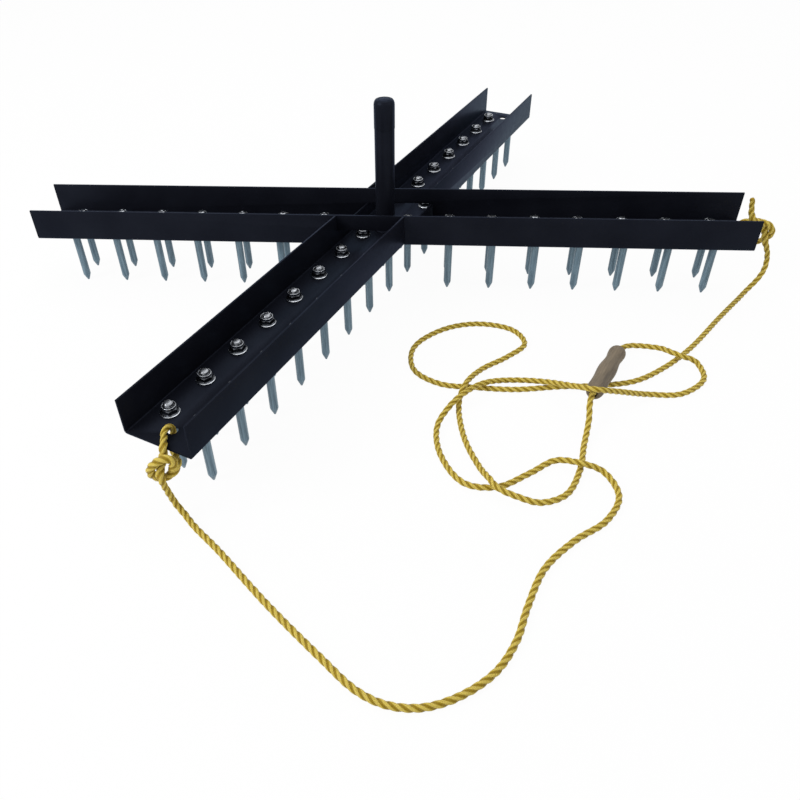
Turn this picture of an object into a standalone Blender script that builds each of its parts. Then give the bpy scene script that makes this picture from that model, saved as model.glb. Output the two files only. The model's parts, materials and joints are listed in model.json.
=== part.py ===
# Drag harrow: two folded steel channels crossed in a half lap, tines in two rows under
# each, a tube post for loose weights, and a pull rope threaded through a wooden handle.
# Metres, +Z up. The origin is on the ground under the crossing, with X along the upper channel.

import math

import bmesh
import bpy
from mathutils import Vector

# Channels
CHANNEL_LENGTH = 1.219
CHANNEL_WIDTH = 0.107
CHANNEL_HEIGHT = 0.054
SHEET = 0.003
OUTER_BEND = 0.0045
BEND_STEPS = 3
CROSSING_ANGLE = math.radians(66.5)

# Fit between pieces that touch or are welded
FIT = 0.0003

# Tines, each a rod with a short blunt point, held through the web by nuts above and below
TINES_PER_ROW = 16
TINE_INSET = 0.0545
ROW_OFFSET = 0.025
TINE_DIAMETER = 0.0127
TINE_REACH = 0.0974
TINE_POINT = 0.012
TINE_TIP = 0.0034
TIP_SIDES = 4
TINE_HOLE = 0.0154
STUD_CHAMFER = 0.0014
STUD_SHOWS = 0.001
NUT_ACROSS_FLATS = 0.019
NUT_HEX = 0.0094
FLANGE_DIAMETER = 0.026
FLANGE_EDGE = 0.0014
FLANGE_SLOPE = 0.0012
JAM_NUT = 0.0079
ROUND_SIDES = 8
HEX_SIDES = 6
UPPER_SKIPS = (7, 8)
LOWER_FUSED = (6, 7, 8, 9)
FUSED_BITE = 0.0004

# Rope holes, one near each end of each channel
ROPE_HOLE = 0.0135
ROPE_HOLE_INSET = 0.029
ROPE_HOLE_SIDES = 12

# Weight post and its pressed-on cap
POST_DIAMETER = 0.0318
POST_WALL = 0.0024
POST_TOP = 0.326
POST_SIDES = 24
CAP_WALL = 0.0006
CAP_CROWN = 0.0012
CAP_SKIRT = 0.040
CAP_DOME = 0.008
CAP_CURVE = [(0.97, 0.56), (0.845, 0.24), (0.60, 0.075), (0.30, 0.02)]
CAP_ROOF_WIDTH = 0.80
CAP_ROOF_DROP = 0.30

# Rope
ROPE_DIAMETER = 0.0095
ROPE_STEP = 0.028
ROPE_BEVEL_STEPS = 2
ROPE_ENDS_GAP = 0.0003

# Handle, lying with its ball's end on the ground and its small end on the rope
HANDLE_LENGTH = 0.1425
HANDLE_BORE = 0.012
HANDLE_END_FACE = 0.0155
HANDLE_SIDES = 18
HANDLE_BALL = Vector((0.3743, -0.2316, 0.0138))
HANDLE_HEADING = math.radians(244.97)
HANDLE_TILT = math.radians(7.5)
ROPE_LEAD = 0.007

# Handle's turned outline, as distances from the ball's end and diameters: ball, waist, belly,
# neck and end bead, blended into each other and rounded over at both ends
BALL_INSET = 0.0095
HANDLE_STATIONS = [
    (BALL_INSET, 0.0266), (0.033, 0.0234), (0.069, 0.0281), (0.104, 0.0252), (0.1275, 0.0262)
]
STATION_STEPS = 3
ROUND_OVER_STEPS = 3

# Front knot, from its hidden end round the standing part, back under the web, up through the
# hole and down over the web's end, in millimetres outward, across and up
FRONT_LOOP = [
    (12.2, -23.9, 80), (10.8, -26.6, 82.1), (8.6, -28.9, 87.5), (8.8, -28.5, 92.6),
    (10.6, -25.4, 96.3), (14.2, -20.5, 97), (18.2, -14.1, 93.8), (21.6, -7.8, 87.6),
    (23.2, -2.9, 79.5), (22.1, -1.6, 70.5), (18.5, -3.7, 63.7), (14.4, -8.7, 61.1),
    (11.6, -16.4, 64.2), (7.6, -22.2, 69), (3.2, -25.5, 74.7), (-1.9, -24.6, 79.7),
    (-6.5, -19.4, 82.2), (-10.5, -13, 83.5), (-15.8, -5.5, 85.3), (-21.5, -0.6, 86.8),
    (-27, 0, 90.7), (-29, 0, 97), (-28.9, 0.3, 103), (-26.2, 1.5, 107.6), (-20.8, 2, 108.9),
    (-14, -0.3, 107.4), (-6.5, -6, 106.2), (0.2, -11.2, 106), (4.6, -12.9, 103),
    (6.3, -13.4, 97.3), (8.1, -13, 92), (12.2, -12.6, 84.5), (17.4, -13.2, 78.5),
    (21.6, -15.5, 73), (23, -17.8, 67),
]

# Right rope's knot, from its free end round the standing part and over the web's end
RIGHT_LOOP = [
    (-9.3, -6, 169), (-6.6, -6.5, 155), (-4.5, -9, 143.8), (-1, -13.5, 135.5), (6, -16.5, 132),
    (16, -17.8, 131.5), (25, -17.8, 127.5), (32, -16.8, 119.5), (35.2, -12.8, 110.5),
    (36.6, -6.5, 102.8), (35.8, -2.2, 96.3), (30.8, -0.6, 91), (21.5, -2.2, 88), (10, -2.2, 86.8),
    (0, -0.5, 87), (-13, 0, 86.5), (-22, 0, 87), (-27.2, 0, 91), (-29, 0, 97), (-29, -0.5, 105),
    (-26, -2, 114), (-18.5, -4, 122), (-8, -5, 126.8), (2.5, -6.2, 128.3), (12.6, -7, 128),
    (19.5, -9, 124.5), (23.2, -11.4, 117), (25.6, -14.2, 107.5), (28.5, -16, 97.5),
    (33, -17.5, 87.5), (37, -18.5, 78),
]

# Rope on the ground, from the front knot to the handle's ball, in millimetres
FRONT_RUN = [
    (-236.3, -585.6, 60), (-235.4, -584, 50.5), (-233.2, -583, 38), (-230.8, -581.9, 25.5),
    (-226.3, -582.9, 15.2), (-218.8, -587.5, 8.4), (-203, -603.5, 5.2), (-164, -639, 5),
    (-91, -711, 5), (-22, -773, 5), (20, -808, 5),
    (51, -821, 5), (86, -822, 5), (124, -808, 5), (163, -778, 5), (187, -740, 5),
    (202, -697, 5), (226, -643, 5), (265, -600, 5), (309, -565, 5), (331, -522, 5),
    (317, -484, 8), (288, -478, 16.3), (257, -466, 8), (221, -489, 5), (177, -516, 5),
    (135, -512, 5), (104, -463, 5), (98, -406, 7), (114, -375, 17), (134, -352, 23),
    (168, -315, 15.6), (214, -296, 7), (257, -308, 15.4), (288, -335, 32), (316, -360, 46.5),
    (354, -346, 32), (406, -321, 8), (456, -314, 5), (497, -277, 5), (496.7, -241, 6),
    (489, -236, 10), (473, -235, 15), (459, -226, 15.6), (447, -211, 11.5), (429, -202, 8),
    (412, -200.6, 8), (397, -204, 9.5),
]

# Rope on the ground, from the handle's small end to the right knot, in millimetres
RIGHT_RUN = [
    (311, -374, 28), (310, -388, 18), (306, -406, 9), (299, -432, 5), (287, -481, 5),
    (264, -525, 5), (230, -541, 6), (202, -537, 10.5), (177, -527.5, 15.3), (166, -511, 15.5),
    (155.5, -485, 8), (137, -430, 5), (129, -371, 5), (131, -342, 10.5), (139.5, -318, 16),
    (165, -273, 8), (207, -235, 5), (236, -200, 5), (220, -163, 5), (166, -147, 5),
    (108, -164, 5), (59, -217, 5), (61, -276, 5), (101, -308, 5), (154, -314, 5),
    (213, -316, 5), (280, -306, 5), (340, -300, 4.9), (394, -287, 5), (445, -251, 5),
    (495, -200, 5), (564, -110, 5), (609.6, -52.5, 5), (628.5, -30.5, 9), (639.5, -22.5, 17.5),
    (645.5, -22.2, 30), (649, -22.5, 44), (650, -21.5, 56), (649.2, -19.5, 67),
]

WEB_UNDER = TINE_REACH
WEB_TOP = WEB_UNDER + SHEET
FLANGE_TOP = WEB_UNDER + CHANNEL_HEIGHT
LAP_HEIGHT = WEB_UNDER + CHANNEL_HEIGHT / 2
CUTTER_PAST = SHEET
TINE_PITCH = (CHANNEL_LENGTH - 2 * TINE_INSET) / (TINES_PER_ROW - 1)
UP = Vector((0, 0, 1))
CREASE = math.radians(45)


def clear_scene():
    for obj in list(bpy.data.objects):
        bpy.data.objects.remove(obj, do_unlink=True)


def finish(name, color, roughness, metallic):
    material = bpy.data.materials.new(name)
    material.use_nodes = True
    shader = material.node_tree.nodes["Principled BSDF"]
    shader.inputs["Base Color"].default_value = (*color, 1)
    shader.inputs["Roughness"].default_value = roughness
    shader.inputs["Metallic"].default_value = metallic
    return material


def add_object(name, bm, material=None):
    bmesh.ops.recalc_face_normals(bm, faces=bm.faces)
    mesh = bpy.data.meshes.new(name)
    bm.to_mesh(mesh)
    bm.free()
    obj = bpy.data.objects.new(name, mesh)
    bpy.context.scene.collection.objects.link(obj)
    if material:
        mesh.materials.append(material)
    return obj


def smooth(mesh):
    mesh.shade_smooth()
    mesh.set_sharp_from_angle(angle=CREASE)


def circle(radius, sides):
    step = 2 * math.pi / sides
    return [(radius * math.cos(i * step), radius * math.sin(i * step)) for i in range(sides)]


def ring(bm, radius, z, sides):
    return [bm.verts.new((x, y, z)) for x, y in circle(radius, sides)]


def join_rings(bm, lower, upper):
    """Triangles between two rings that both start at the same angle, whatever their counts."""
    below, above = len(lower), len(upper)
    i = j = 0
    while i < below or j < above:
        if j == above or (i < below and (i + 1) * above <= (j + 1) * below):
            bm.faces.new((lower[i % below], lower[(i + 1) % below], upper[j % above]))
            i += 1
        else:
            bm.faces.new((lower[i % below], upper[(j + 1) % above], upper[j % above]))
            j += 1


def turned(bm, outline, sides, closed_below=True, closed_above=True):
    """A turned solid from (radius, z, sides) rings; a loop where neither end is closed."""
    rings = [ring(bm, radius, z, count or sides) for radius, z, count in outline]
    for lower, upper in zip(rings, rings[1:]):
        join_rings(bm, lower, upper)
    if closed_below:
        bm.faces.new(list(reversed(rings[0])))
    if closed_above:
        bm.faces.new(rings[-1])
    if not closed_below and not closed_above:
        join_rings(bm, rings[-1], rings[0])
    return rings


def arc(centre, radius, start, end, steps):
    return [
        (
            centre[0] + radius * math.cos(start + (end - start) * i / steps),
            centre[1] + radius * math.sin(start + (end - start) * i / steps),
        )
        for i in range(steps + 1)
    ]


def channel_outline():
    """The folded section, open upward: across, and height above the web's underside."""
    half = CHANNEL_WIDTH / 2
    bend = half - OUTER_BEND
    inner = OUTER_BEND - SHEET
    left, right = math.pi, 0.0
    down_from_left, down_from_right = math.pi * 1.5, -math.pi / 2
    return (
        [(-half, CHANNEL_HEIGHT)]
        + arc((-bend, OUTER_BEND), OUTER_BEND, left, down_from_left, BEND_STEPS)
        + arc((bend, OUTER_BEND), OUTER_BEND, down_from_right, right, BEND_STEPS)
        + [(half, CHANNEL_HEIGHT), (half - SHEET, CHANNEL_HEIGHT)]
        + arc((bend, OUTER_BEND), inner, right, down_from_right, BEND_STEPS)
        + arc((-bend, OUTER_BEND), inner, down_from_left, left, BEND_STEPS)
        + [(-half + SHEET, CHANNEL_HEIGHT)]
    )


def folded_channel(name, angle, material):
    bm = bmesh.new()
    start = -CHANNEL_LENGTH / 2
    face = bm.faces.new([bm.verts.new((start, y, z)) for y, z in channel_outline()])
    moved = bmesh.ops.extrude_face_region(bm, geom=[face])["geom"]
    ends = [v for v in moved if isinstance(v, bmesh.types.BMVert)]
    bmesh.ops.translate(bm, verts=ends, vec=(CHANNEL_LENGTH, 0, 0))
    channel = add_object(name, bm, material)
    channel.location = (0, 0, WEB_UNDER)
    channel.rotation_euler = (0, 0, angle)
    smooth(channel.data)
    return channel


def tine_places(skipped):
    """(position, row side, distance along, distance across) of the tines on one channel."""
    middle = (TINES_PER_ROW - 1) / 2
    return [
        (i, side, (i - middle) * TINE_PITCH, side * ROW_OFFSET)
        for i in range(TINES_PER_ROW)
        if i not in skipped
        for side in (1, -1)
    ]


def block(bm, corners, low, high):
    """An upright prism over a plan outline."""
    face = bm.faces.new([bm.verts.new((x, y, low)) for x, y in corners])
    moved = bmesh.ops.extrude_face_region(bm, geom=[face])["geom"]
    tops = [v for v in moved if isinstance(v, bmesh.types.BMVert)]
    bmesh.ops.translate(bm, verts=tops, vec=(0, 0, high - low))


def hole_cutter(bm, centre, diameter, sides):
    """An upright prism through the web, round a point of the plan."""
    corners = [(centre[0] + x, centre[1] + y) for x, y in circle(diameter / 2, sides)]
    block(bm, corners, WEB_UNDER - CUTTER_PAST, WEB_TOP + CUTTER_PAST)


def on_channel(angle, along, across):
    c, s = math.cos(angle), math.sin(angle)
    return along * c - across * s, along * s + across * c


def cut(channel, cutter, label):
    cutter.hide_render = True
    cutter.display_type = "WIRE"
    modifier = channel.modifiers.new(label, "BOOLEAN")
    modifier.operation = "DIFFERENCE"
    modifier.solver = "EXACT"
    modifier.object = cutter


def cut_holes(channel, angle, places):
    bm = bmesh.new()
    for _, _, along, across in places:
        hole_cutter(bm, on_channel(angle, along, across), TINE_HOLE, HEX_SIDES)
    for end in (-1, 1):
        along = end * (CHANNEL_LENGTH / 2 - ROPE_HOLE_INSET)
        hole_cutter(bm, on_channel(angle, along, 0), ROPE_HOLE, ROPE_HOLE_SIDES)
    cut(channel, add_object(channel.name + "_hole_cutter", bm), "holes")


def cut_lap(channel, other_angle, low, high):
    """Cuts away the band where the other channel passes, grown by the fit."""
    half = CHANNEL_WIDTH / 2 + FIT
    reach = CHANNEL_LENGTH / 2
    corners = [
        on_channel(other_angle, along, across)
        for along, across in ((-reach, -half), (reach, -half), (reach, half), (-reach, half))
    ]
    bm = bmesh.new()
    block(bm, corners, low, high)
    cut(channel, add_object(channel.name + "_lap_cutter", bm), "half lap")


def tine_outline(gap):
    """Rings from the blunt point up: rod, jam nut, stud in the web, flange, hexagon, stud end."""
    rod = TINE_DIAMETER / 2
    hexagon = NUT_ACROSS_FLATS / 2 / math.cos(math.pi / HEX_SIDES)
    jam_top = WEB_UNDER - gap
    seat = WEB_TOP + gap
    edge = seat + FLANGE_EDGE
    hex_low = edge + FLANGE_SLOPE
    hex_high = hex_low + NUT_HEX
    stud_top = hex_high + STUD_SHOWS
    return [
        (TINE_TIP / 2, 0.0, TIP_SIDES),
        (rod, TINE_POINT, ROUND_SIDES),
        (rod, jam_top - JAM_NUT, ROUND_SIDES),
        (hexagon, jam_top - JAM_NUT, HEX_SIDES),
        (hexagon, jam_top, HEX_SIDES),
        (rod, jam_top, HEX_SIDES),
        (rod, seat, HEX_SIDES),
        (FLANGE_DIAMETER / 2, seat, ROUND_SIDES),
        (FLANGE_DIAMETER / 2, edge, ROUND_SIDES),
        (hexagon, hex_low, HEX_SIDES),
        (hexagon, hex_high, HEX_SIDES),
        (rod, hex_high, HEX_SIDES),
        (rod - STUD_CHAMFER, stud_top, HEX_SIDES),
    ]


def tine_mesh(material, gap):
    bm = bmesh.new()
    turned(bm, tine_outline(gap), ROUND_SIDES)
    bmesh.ops.recalc_face_normals(bm, faces=bm.faces)
    mesh = bpy.data.meshes.new("tine")
    bm.to_mesh(mesh)
    bm.free()
    mesh.materials.append(material)
    smooth(mesh)
    return mesh


def place_tine(name, mesh, angle, along, across):
    obj = bpy.data.objects.new(name, mesh)
    bpy.context.scene.collection.objects.link(obj)
    obj.location = (*on_channel(angle, along, across), 0)
    obj.rotation_euler = (0, 0, angle)
    return obj


def add_tines(prefix, channel, angle, places, fused, material):
    """Tines on their own, and those nearest the crossing joined to their channel."""
    loose_mesh = tine_mesh(material, FIT)
    fused_mesh = tine_mesh(material, -FUSED_BITE)
    side_names = {1: "left", -1: "right"}
    for position, side, along, across in places:
        name = f"{prefix}_tine_{side_names[side]}_{position + 1:02d}"
        if position not in fused:
            place_tine(name, loose_mesh.copy(), angle, along, across)
            continue
        joined = place_tine(name, fused_mesh.copy(), angle, along, across)
        joined.hide_render = True
        joined.display_type = "WIRE"
        modifier = channel.modifiers.new(name, "BOOLEAN")
        modifier.operation = "UNION"
        modifier.solver = "EXACT"
        modifier.object = joined


def weight_post(material):
    bm = bmesh.new()
    outer, inner = POST_DIAMETER / 2, POST_DIAMETER / 2 - POST_WALL
    low, high = WEB_TOP + FIT, POST_TOP - CAP_DOME - FIT
    outline = [(outer, low, 0), (outer, high, 0), (inner, high, 0), (inner, low, 0)]
    turned(bm, outline, POST_SIDES, closed_below=False, closed_above=False)
    smooth(add_object("weight_post", bm, material).data)


def post_cap(material):
    """A thin pressed-on cap with rounded shoulders and a low crown."""
    bm = bmesh.new()
    inner = POST_DIAMETER / 2 + FIT
    outer = inner + CAP_WALL
    rim, shoulder = POST_TOP - CAP_SKIRT, POST_TOP - CAP_DOME
    outline = [(inner, rim, 0), (outer, rim, 0), (outer, shoulder, 0)]
    for share, drop in CAP_CURVE:
        outline.append((outer * share, POST_TOP - CAP_DOME * drop, 0))
    rings = turned(bm, outline, POST_SIDES, closed_below=False)
    roof_height = POST_TOP - CAP_CROWN - CAP_DOME * CAP_ROOF_DROP
    roof = [
        ring(bm, inner, shoulder, POST_SIDES),
        ring(bm, inner * CAP_ROOF_WIDTH, roof_height, POST_SIDES),
    ]
    join_rings(bm, rings[0], roof[0])
    join_rings(bm, *roof)
    bm.faces.new(roof[1])
    smooth(add_object("post_cap", bm, material).data)


def handle_axis():
    level = math.cos(HANDLE_TILT)
    return Vector(
        (
            level * math.cos(HANDLE_HEADING),
            level * math.sin(HANDLE_HEADING),
            math.sin(HANDLE_TILT),
        )
    )


def handle_point(along):
    """A point on the handle's bore, measured from the ball's end."""
    return HANDLE_BALL + handle_axis() * (along - BALL_INSET)


def rounded_end(station, end):
    """A quarter of an ellipse from the end's flat face out to the nearest station."""
    place, diameter = station
    face = HANDLE_END_FACE / 2
    points = []
    for i in range(ROUND_OVER_STEPS):
        a = math.pi / 2 * i / ROUND_OVER_STEPS
        radius = face + (diameter / 2 - face) * math.sin(a)
        points.append((radius, end + (place - end) * (1 - math.cos(a)), 0))
    return points


def handle_outline():
    """(radius, distance from the ball's end) along the outside of the handle."""
    outline = rounded_end(HANDLE_STATIONS[0], 0.0)
    for (start, wide), (stop, narrow) in zip(HANDLE_STATIONS, HANDLE_STATIONS[1:]):
        for i in range(STATION_STEPS):
            share = i / STATION_STEPS
            ease = (1 - math.cos(math.pi * share)) / 2
            radius = (wide + (narrow - wide) * ease) / 2
            outline.append((radius, start + (stop - start) * share, 0))
    last, diameter = HANDLE_STATIONS[-1]
    outline.append((diameter / 2, last, 0))
    return outline + list(reversed(rounded_end(HANDLE_STATIONS[-1], HANDLE_LENGTH)))


def pull_handle(material):
    """The turned handle, bored through; its object sits on the bore's axis."""
    bm = bmesh.new()
    bore = HANDLE_BORE / 2
    outline = handle_outline() + [(bore, HANDLE_LENGTH, 0), (bore, 0.0, 0)]
    turned(bm, outline, HANDLE_SIDES, closed_below=False, closed_above=False)
    obj = add_object("pull_handle", bm, material)
    obj.location = handle_point(0)
    obj.rotation_mode = "QUATERNION"
    obj.rotation_quaternion = UP.rotation_difference(handle_axis())
    smooth(obj.data)


def past_end(angle, end, point):
    """A point from millimetres outward past an arm's end, across it, and up from the ground."""
    outward, across, height = (value / 1000 for value in point)
    along = end * (CHANNEL_LENGTH / 2 + outward)
    return Vector((*on_channel(angle, along, across), height))


def spline_between(a, b, c, d, steps):
    """Centripetal spline points from b up to but not including c."""
    first, second, third = ((q - p).length ** 0.5 for p, q in ((a, b), (b, c), (c, d)))
    leave = (c - b) + second * ((b - a) / first - (c - a) / (first + second))
    arrive = (c - b) + second * ((d - c) / third - (d - b) / (second + third))
    points = []
    for i in range(steps):
        t = i / steps
        points.append(
            (2 * t**3 - 3 * t**2 + 1) * b
            + (t**3 - 2 * t**2 + t) * leave
            + (3 * t**2 - 2 * t**3) * c
            + (t**3 - t**2) * arrive
        )
    return points


def smooth_route(points):
    """The route with its own points kept and more between those that lie far apart."""
    padded = [2 * points[0] - points[1], *points, 2 * points[-1] - points[-2]]
    route = []
    for a, b, c, d in zip(padded, padded[1:], padded[2:], padded[3:]):
        steps = max(1, math.ceil((c - b).length / ROPE_STEP - 0.5))
        route += spline_between(a, b, c, d, steps)
    route.append(points[-1])
    for point in route:
        point.z = max(point.z, ROPE_DIAMETER / 2)
    return route


def rope(name, points, material):
    curve = bpy.data.curves.new(name, "CURVE")
    curve.dimensions = "3D"
    curve.bevel_depth = ROPE_DIAMETER / 2
    curve.bevel_resolution = ROPE_BEVEL_STEPS
    curve.use_fill_caps = True
    curve.resolution_u = 1
    spline = curve.splines.new("POLY")
    spline.points.add(len(points) - 1)
    for target, point in zip(spline.points, points):
        target.co = (*point, 1)
    curve.materials.append(material)
    obj = bpy.data.objects.new(name, curve)
    bpy.context.scene.collection.objects.link(obj)


def in_metres(points):
    return [Vector(point) / 1000 for point in points]


def ropes(material):
    """Two lengths of one rope: each knotted to an arm, their ends meeting in the handle."""
    middle = HANDLE_LENGTH / 2
    beyond = (middle + HANDLE_LENGTH) / 2
    front = [past_end(CROSSING_ANGLE, -1, point) for point in FRONT_LOOP]
    front += in_metres(FRONT_RUN)
    front += [handle_point(s) for s in (-ROPE_LEAD, 0, middle / 2, middle - ROPE_ENDS_GAP / 2)]
    rope("pull_rope_front", smooth_route(front), material)
    right = [handle_point(s) for s in (middle + ROPE_ENDS_GAP / 2, beyond, HANDLE_LENGTH)]
    right += [handle_point(HANDLE_LENGTH + ROPE_LEAD)]
    right += in_metres(RIGHT_RUN)
    right += [past_end(0, 1, point) for point in reversed(RIGHT_LOOP)]
    rope("pull_rope_right", smooth_route(right), material)


def build():
    clear_scene()
    coated = finish("black_coat", (0.012, 0.014, 0.019), 0.18, 0.0)
    galvanised = finish("galvanised_steel", (0.45, 0.50, 0.54), 0.45, 1.0)
    wood = finish("weathered_wood", (0.21, 0.16, 0.12), 0.7, 0.0)
    yellow = finish("yellow_rope", (0.62, 0.46, 0.03), 0.55, 0.0)

    lower_places = tine_places(skipped=())
    upper_places = tine_places(skipped=UPPER_SKIPS)
    lower = folded_channel("lower_channel", CROSSING_ANGLE, coated)
    upper = folded_channel("upper_channel", 0, coated)
    cut_holes(lower, CROSSING_ANGLE, [place for place in lower_places if place[0] not in LOWER_FUSED])
    cut_holes(upper, 0, upper_places)
    cut_lap(lower, 0, LAP_HEIGHT - FIT / 2, FLANGE_TOP + CUTTER_PAST)
    cut_lap(upper, CROSSING_ANGLE, WEB_UNDER - CUTTER_PAST, LAP_HEIGHT + FIT / 2)
    add_tines("lower", lower, CROSSING_ANGLE, lower_places, LOWER_FUSED, galvanised)
    add_tines("upper", upper, 0, upper_places, (), galvanised)

    weight_post(coated)
    post_cap(coated)
    pull_handle(wood)
    ropes(yellow)


build()
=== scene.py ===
# Drag harrow: the finishes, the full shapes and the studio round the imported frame.
# Metres, +Z up, the origin on the ground under the crossing.

import json
import math
import random

import bmesh
import bpy
import numpy as np
from mathutils import Matrix, Vector

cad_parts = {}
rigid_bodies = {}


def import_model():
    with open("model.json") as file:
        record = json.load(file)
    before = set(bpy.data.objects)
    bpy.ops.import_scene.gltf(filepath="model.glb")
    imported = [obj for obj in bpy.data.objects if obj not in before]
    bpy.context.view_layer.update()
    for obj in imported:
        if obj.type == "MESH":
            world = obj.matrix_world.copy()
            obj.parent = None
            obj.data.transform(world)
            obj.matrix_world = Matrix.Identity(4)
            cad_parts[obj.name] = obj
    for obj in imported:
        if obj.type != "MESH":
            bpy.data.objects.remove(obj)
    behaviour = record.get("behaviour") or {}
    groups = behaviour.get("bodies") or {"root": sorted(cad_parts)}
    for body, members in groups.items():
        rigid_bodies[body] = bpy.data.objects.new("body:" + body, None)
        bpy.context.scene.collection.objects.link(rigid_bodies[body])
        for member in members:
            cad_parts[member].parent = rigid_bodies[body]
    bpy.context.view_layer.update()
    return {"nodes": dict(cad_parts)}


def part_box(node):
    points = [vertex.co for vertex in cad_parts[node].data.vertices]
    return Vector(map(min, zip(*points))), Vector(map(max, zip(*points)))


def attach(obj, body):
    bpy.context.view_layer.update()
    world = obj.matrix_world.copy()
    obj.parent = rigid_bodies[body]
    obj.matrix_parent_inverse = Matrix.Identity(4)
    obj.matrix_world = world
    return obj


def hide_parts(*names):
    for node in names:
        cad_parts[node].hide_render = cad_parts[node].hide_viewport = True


mm = 0.001

for leftover in list(bpy.data.objects):
    bpy.data.objects.remove(leftover, do_unlink=True)

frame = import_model()
print("stage: frame loaded")


# Camera, at the photograph's own place

camera = {
    "place": (0.08334669, -1.20602078, 0.73942018),
    "right": (0.99653532, 0.07953404, -0.0243249),
    "down": (0.03246574, -0.64125605, -0.76663984),
    "ahead": (-0.07657245, 0.76319395, -0.64161644),
    "focalPixels": 762.295,
    "centre": (369.4235, 391.8382),
    "frame": 800,
    "sensor": 36,
    "nearClip": 0.02,
}


def placeCamera():
    data = bpy.data.cameras.new("camera")
    data.sensor_width = camera["sensor"]
    data.sensor_fit = "HORIZONTAL"
    data.lens = camera["focalPixels"] * camera["sensor"] / camera["frame"]
    data.shift_x = (camera["frame"] / 2 - camera["centre"][0]) / camera["frame"]
    data.shift_y = (camera["centre"][1] - camera["frame"] / 2) / camera["frame"]
    data.clip_start = camera["nearClip"]
    obj = bpy.data.objects.new("camera", data)
    bpy.context.scene.collection.objects.link(obj)
    axes = Matrix((camera["right"], -Vector(camera["down"]), -Vector(camera["ahead"]))).transposed()
    obj.matrix_world = Matrix.Translation(camera["place"]) @ axes.to_4x4()
    bpy.context.scene.camera = obj


placeCamera()
print("stage: camera placed")


# Node materials

def newMaterial(name):
    material = bpy.data.materials.new(name)
    material.use_nodes = True
    tree = material.node_tree
    shader = tree.nodes["Principled BSDF"]
    return material, tree, shader


def addNode(tree, kind, inputs=None, **settings):
    node = tree.nodes.new(kind)
    for key, value in settings.items():
        setattr(node, key, value)
    for key, value in (inputs or {}).items():
        node.inputs[key].default_value = value
    return node


def colorBy(tree, shader, source, stops):
    ramp = addNode(tree, "ShaderNodeValToRGB")
    points = ramp.color_ramp.elements
    while len(points) < len(stops):
        points.new(0.5)
    for point, (place, color) in zip(points, stops):
        point.position = place
        point.color = (*color, 1)
    tree.links.new(source, ramp.inputs["Fac"])
    tree.links.new(ramp.outputs["Color"], shader.inputs["Base Color"])


def roughnessBy(tree, shader, source, low, high):
    spread = addNode(tree, "ShaderNodeMapRange", {"To Min": low, "To Max": high})
    tree.links.new(source, spread.inputs["Value"])
    tree.links.new(spread.outputs["Result"], shader.inputs["Roughness"])


def stretchedPlace(tree, scale):
    place = addNode(tree, "ShaderNodeTexCoord")
    mapping = addNode(tree, "ShaderNodeMapping", {"Scale": scale})
    tree.links.new(place.outputs["Object"], mapping.inputs["Vector"])
    return mapping.outputs["Vector"]


def addNoise(tree, place, scale, detail, roughness=0.5):
    noise = addNode(tree, "ShaderNodeTexNoise", {"Scale": scale, "Detail": detail, "Roughness": roughness})
    tree.links.new(place, noise.inputs["Vector"])
    return noise.outputs["Fac"]


def addShare(tree, part, share, base):
    # the base plus a share of the part
    both = addNode(tree, "ShaderNodeMath", {1: share}, operation="MULTIPLY_ADD")
    tree.links.new(part, both.inputs[0])
    tree.links.new(base, both.inputs[2])
    return both.outputs[0]


def addBump(tree, shader, height, strength, distance, below=None):
    bump = addNode(tree, "ShaderNodeBump", {"Strength": strength, "Distance": distance})
    tree.links.new(height, bump.inputs["Height"])
    if below is not None:
        tree.links.new(below, bump.inputs["Normal"])
    tree.links.new(bump.outputs["Normal"], shader.inputs["Normal"])
    return bump.outputs["Normal"]


# In each look below, a noise is its scale, detail and roughness, a gloss is the roughness
# at the noise's low and high end, and a relief is a bump's strength and distance

coatLook = {
    "deep": (0.0092, 0.0100, 0.0155),
    "pale": (0.0126, 0.0140, 0.0210),
    "cloud": (14, 4),
    "speck": (90, 3),
    "gloss": (0.30, 0.42),
    "mirror": 0.04,
    "mirrorTint": (0.20, 0.47, 0.70, 1),
    "metal": 0.35,  # a share, so that the coat turns slate-blue at grazing angles
    "peel": (420, 2),
    "peelRelief": (0.04, 0.0004),
}


def blackCoat():
    material, tree, shader = newMaterial("blackCoat")
    place = stretchedPlace(tree, (1, 1, 1))
    cloud = addNoise(tree, place, *coatLook["cloud"])
    colorBy(tree, shader, cloud, [(0.3, coatLook["deep"]), (0.7, coatLook["pale"])])
    roughnessBy(tree, shader, addNoise(tree, place, *coatLook["speck"]), *coatLook["gloss"])
    addBump(tree, shader, addNoise(tree, place, *coatLook["peel"]), *coatLook["peelRelief"])
    shader.inputs["Specular IOR Level"].default_value = coatLook["mirror"]
    shader.inputs["Specular Tint"].default_value = coatLook["mirrorTint"]
    shader.inputs["Metallic"].default_value = coatLook["metal"]
    return material


galvanisedLook = {
    "dull": (0.078, 0.130, 0.172),
    "bright": (0.200, 0.295, 0.360),
    "streakStretch": (1, 1, 0.04),
    "streak": (420, 4, 0.62),
    "patchStretch": (1, 1, 0.35),
    "patch": (120, 3),
    "patchShare": 0.35,
    "gloss": (0.30, 0.46),
    "relief": (0.25, 0.0006),
    "metal": 0.45,
}


def galvanisedSteel():
    material, tree, shader = newMaterial("galvanisedSteel")
    streak = addNoise(tree, stretchedPlace(tree, galvanisedLook["streakStretch"]), *galvanisedLook["streak"])
    patch = addNoise(tree, stretchedPlace(tree, galvanisedLook["patchStretch"]), *galvanisedLook["patch"])
    mix = addShare(tree, patch, galvanisedLook["patchShare"], streak)
    colorBy(tree, shader, mix, [(0.50, galvanisedLook["dull"]), (0.86, galvanisedLook["bright"])])
    roughnessBy(tree, shader, patch, *galvanisedLook["gloss"])
    addBump(tree, shader, mix, *galvanisedLook["relief"])
    shader.inputs["Metallic"].default_value = galvanisedLook["metal"]
    return material


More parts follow.
